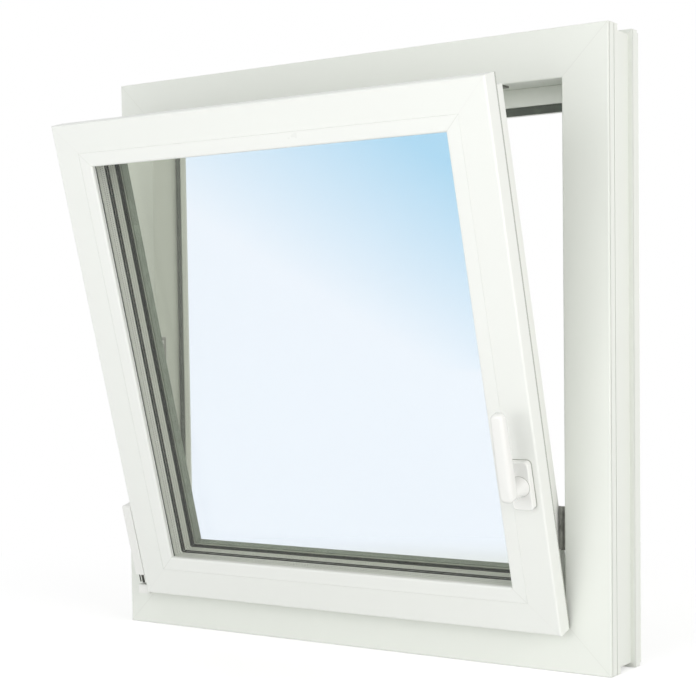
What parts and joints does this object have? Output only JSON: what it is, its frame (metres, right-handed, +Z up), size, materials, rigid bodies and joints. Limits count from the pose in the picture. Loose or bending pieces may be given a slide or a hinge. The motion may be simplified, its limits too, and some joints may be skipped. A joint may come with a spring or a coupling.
{
  "type": "upvc window",
  "caption": "White uPVC window, tilted sash in a rectangular frame, triple sealed glass, lever handle, hinge and stay on the left.",
  "frame": {"origin": "middle of the underside of the frame's front flange, at the sill", "axes": "+Z up, +X to the right seen from the room, +Y to the outside; the room is at -Y"},
  "size_m": [0.832, 0.3236, 0.85],
  "materials": {
    "bead_upvc": "smooth satin white",
    "block": "matt",
    "cap_white": "smooth",
    "frame_upvc": "smooth satin white",
    "glass": "clear",
    "handle_white": "smooth white coat",
    "hinge_white": "smooth white coat",
    "sash_upvc": "smooth satin white",
    "seal": "matt dark seal",
    "sealant": "matt",
    "spacer": "satin",
    "steel": "zinc plated"
  },
  "bodies": {
    "root": {"bead_bottom": "bead_upvc", "bead_left": "bead_upvc", "bead_right": "bead_upvc", "bead_seal": "seal", "bead_top": "bead_upvc", "drain_caps": "cap_white", "frame_head": "frame_upvc", "frame_left_jamb": "frame_upvc", "frame_right_jamb": "frame_upvc", "frame_sill": "frame_upvc", "frame_steels": "steel", "frame_stop_seal": "seal", "glass_middle_pane": "glass", "glass_outer_pane": "glass", "glass_room_pane": "glass", "glazing_blocks": "block", "handle_lever": "handle_white", "handle_rosette": "handle_white", "head_stop_bar": "frame_upvc", "head_stop_seal": "seal", "hinge_bearing": "steel", "hinge_cover": "hinge_white", "hinge_leaf": "hinge_white", "keeps": "steel", "lock_cams": "steel", "lock_rail_bottom": "steel", "lock_rail_left": "steel", "lock_rail_right": "steel", "lock_rail_top": "steel", "rebate_seal": "seal", "sash_bottom_rail": "sash_upvc", "sash_lap_seal": "seal", "sash_left_stile": "sash_upvc", "sash_right_stile": "sash_upvc", "sash_steels": "steel", "sash_top_rail": "sash_upvc", "sealant_outer": "sealant", "sealant_room": "sealant", "spacer_outer": "spacer", "spacer_room": "spacer", "stay_arm": "steel", "stay_bearing": "steel", "stay_cover": "hinge_white", "stay_slider": "steel", "tilt_keep": "steel"}
  },
  "joints": []
}
